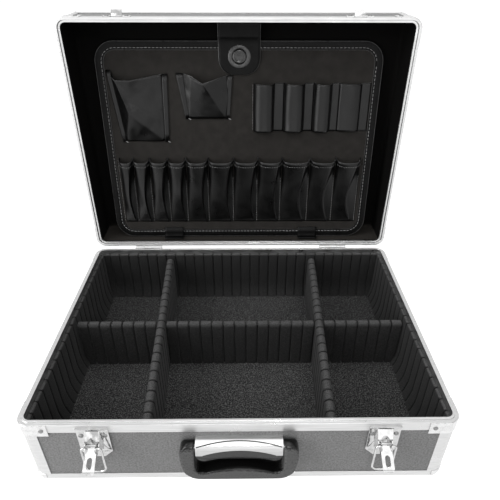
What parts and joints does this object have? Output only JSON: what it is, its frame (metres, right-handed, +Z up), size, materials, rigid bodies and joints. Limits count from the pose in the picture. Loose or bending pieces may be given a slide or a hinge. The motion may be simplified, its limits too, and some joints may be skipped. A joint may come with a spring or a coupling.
{
  "type": "tool flight case",
  "caption": "Aluminium-framed tool case standing open, with toggle latches, a swinging handle, divided foam-lined base and a tool pallet in the lid.",
  "frame": {"origin": "middle of the underside of the base, on the floor", "axes": "+X along the width, to the right seen from the front; -Y to the front with the handle and latches; +Z up"},
  "size_m": [0.459, 0.4232, 0.4351],
  "materials": {
    "laminate": "hammered",
    "frame": "satin",
    "corner": "nickel plated",
    "bright": "polished",
    "steel": "satin",
    "foam": "matt",
    "floor_foam": "speckled matt",
    "handle_black": "grained",
    "lining_black": "matt",
    "leatherette": "grained"
  },
  "bodies": {
    "base": {"back_wall_liner": "foam", "base_back_panel": "laminate", "base_bottom_panel": "laminate", "base_corner_caps": "corner", "base_corner_posts": "frame", "base_edge_profiles": "frame", "base_front_panel": "laminate", "base_left_panel": "laminate", "base_right_panel": "laminate", "base_rim": "frame", "base_rim_brackets": "corner", "base_rivets": "corner", "cross_divider_left": "foam", "cross_divider_middle": "foam", "cross_divider_right": "foam", "floor_liner": "floor_foam", "front_wall_liner": "foam", "handle_base": "handle_black", "handle_cover": "bright", "handle_rod": "steel", "hinge_base_leaves": "steel", "hinge_pins": "steel", "latch_pins": "steel", "latch_plate_left": "bright", "latch_plate_right": "bright", "left_divider": "foam", "left_wall_liner": "foam", "right_divider": "foam", "right_wall_liner": "foam"},
    "handle": {"handle_loop": "handle_black"},
    "lid": {"hinge_lid_leaves": "steel", "large_pocket_left": "leatherette", "large_pocket_right": "leatherette", "latch_keepers": "bright", "lid_back_panel": "laminate", "lid_corner_caps": "corner", "lid_corner_posts": "frame", "lid_edge_profiles": "frame", "lid_front_panel": "laminate", "lid_left_panel": "laminate", "lid_lining": "lining_black", "lid_right_panel": "laminate", "lid_rim": "frame", "lid_rim_brackets": "corner", "lid_rivets": "corner", "lid_top_panel": "laminate", "pallet_binding": "leatherette", "pallet_strap": "leatherette", "pallet_tabs": "leatherette", "strap_snap": "bright", "tool_loops": "leatherette", "tool_pallet": "leatherette", "tool_pockets": "leatherette"},
    "latch_bail_left": {"latch_bail_left": "bright"},
    "latch_bail_right": {"latch_bail_right": "bright"},
    "latch_lever_left": {"latch_lever_left": "bright"},
    "latch_lever_right": {"latch_lever_right": "bright"}
  },
  "joints": [
    {"name": "lid_swing", "type": "hinge", "parent": "base", "child": "lid", "pos_m": [0, 0.168, 0.09425], "axis": [1, 0, 0], "range_deg": [0, 90]},
    {"name": "handle_swing", "type": "hinge", "parent": "base", "child": "handle", "pos_m": [0, -0.1718, 0.067], "axis": [-1, 0, 0], "range_deg": [0, 95]},
    {"name": "lever_left_turn", "type": "hinge", "parent": "base", "child": "latch_lever_left", "pos_m": [-0.15, -0.172, 0.0705], "axis": [1, 0, 0], "range_deg": [0, 60]},
    {"name": "bail_left_turn", "type": "hinge", "parent": "latch_lever_left", "child": "latch_bail_left", "pos_m": [-0.15, -0.17794, 0.074], "axis": [-1, 0, 0], "range_deg": [0, 253]},
    {"name": "lever_right_turn", "type": "hinge", "parent": "base", "child": "latch_lever_right", "pos_m": [0.15, -0.172, 0.0705], "axis": [1, 0, 0], "range_deg": [0, 60]},
    {"name": "bail_right_turn", "type": "hinge", "parent": "latch_lever_right", "child": "latch_bail_right", "pos_m": [0.15, -0.17794, 0.074], "axis": [-1, 0, 0], "range_deg": [0, 253]}
  ],
  "couplings": [
    {"joint": "bail_left_turn", "follows": "lever_left_turn", "ratio": 4.2083},
    {"joint": "bail_right_turn", "follows": "lever_right_turn", "ratio": 4.2083}
  ]
}
